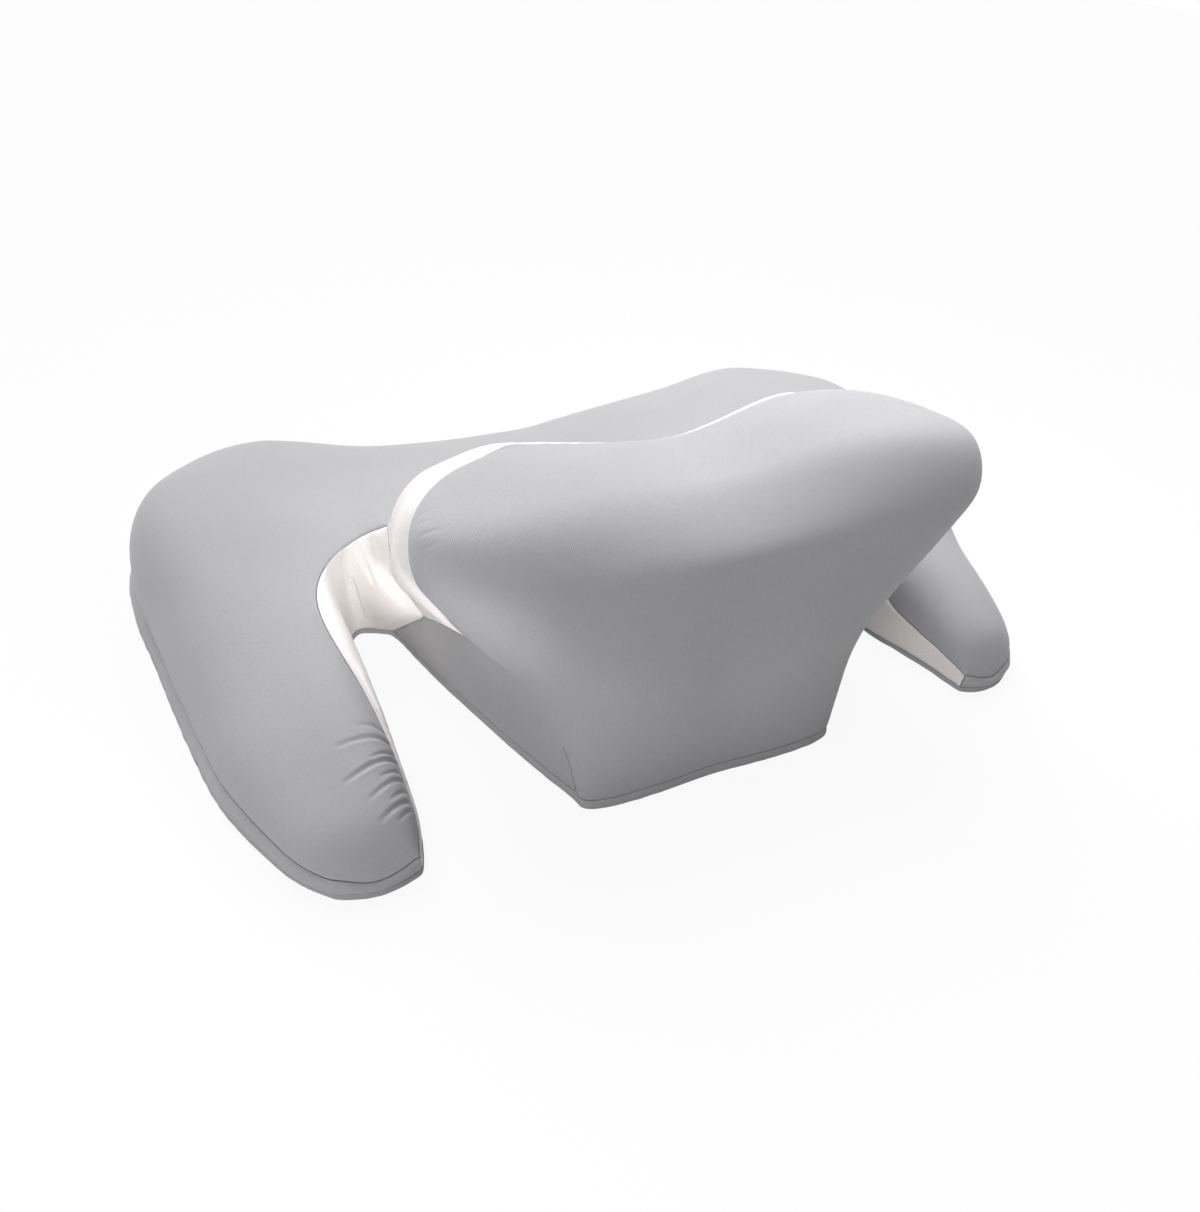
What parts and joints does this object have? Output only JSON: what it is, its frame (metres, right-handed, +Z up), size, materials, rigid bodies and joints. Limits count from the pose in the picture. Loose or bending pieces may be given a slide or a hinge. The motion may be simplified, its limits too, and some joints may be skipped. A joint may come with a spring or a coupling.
{
  "type": "cervical pillow",
  "caption": "Contoured neck pillow: a low wing pad with two open arm slots round a tall, flared neck block with a dip for the neck.",
  "frame": {"origin": "on the resting surface, under the centre of the pillow's bounding box", "axes": "+X across the pillow from wing to wing, +Y from the open front to the rear edge, +Z up from the resting surface to the crest of the neck block"},
  "size_m": [0.5306, 0.3498, 0.1496],
  "materials": {
    "grey_jersey": "smooth taut stretch jersey, matte with a soft sheen",
    "white_jersey": "smooth off-white stretch jersey, matte",
    "filling": "soft moulded foam under the cover"
  },
  "bodies": {
    "root": {"filling": "filling", "bottom_panel": "grey_jersey", "top_panel": "grey_jersey", "band": "grey_jersey", "front_panel": "grey_jersey", "side_panel_left": "grey_jersey", "side_panel_right": "grey_jersey", "slot_panel_left": "white_jersey", "slot_panel_right": "white_jersey", "end_panel": "white_jersey"}
  },
  "joints": []
}
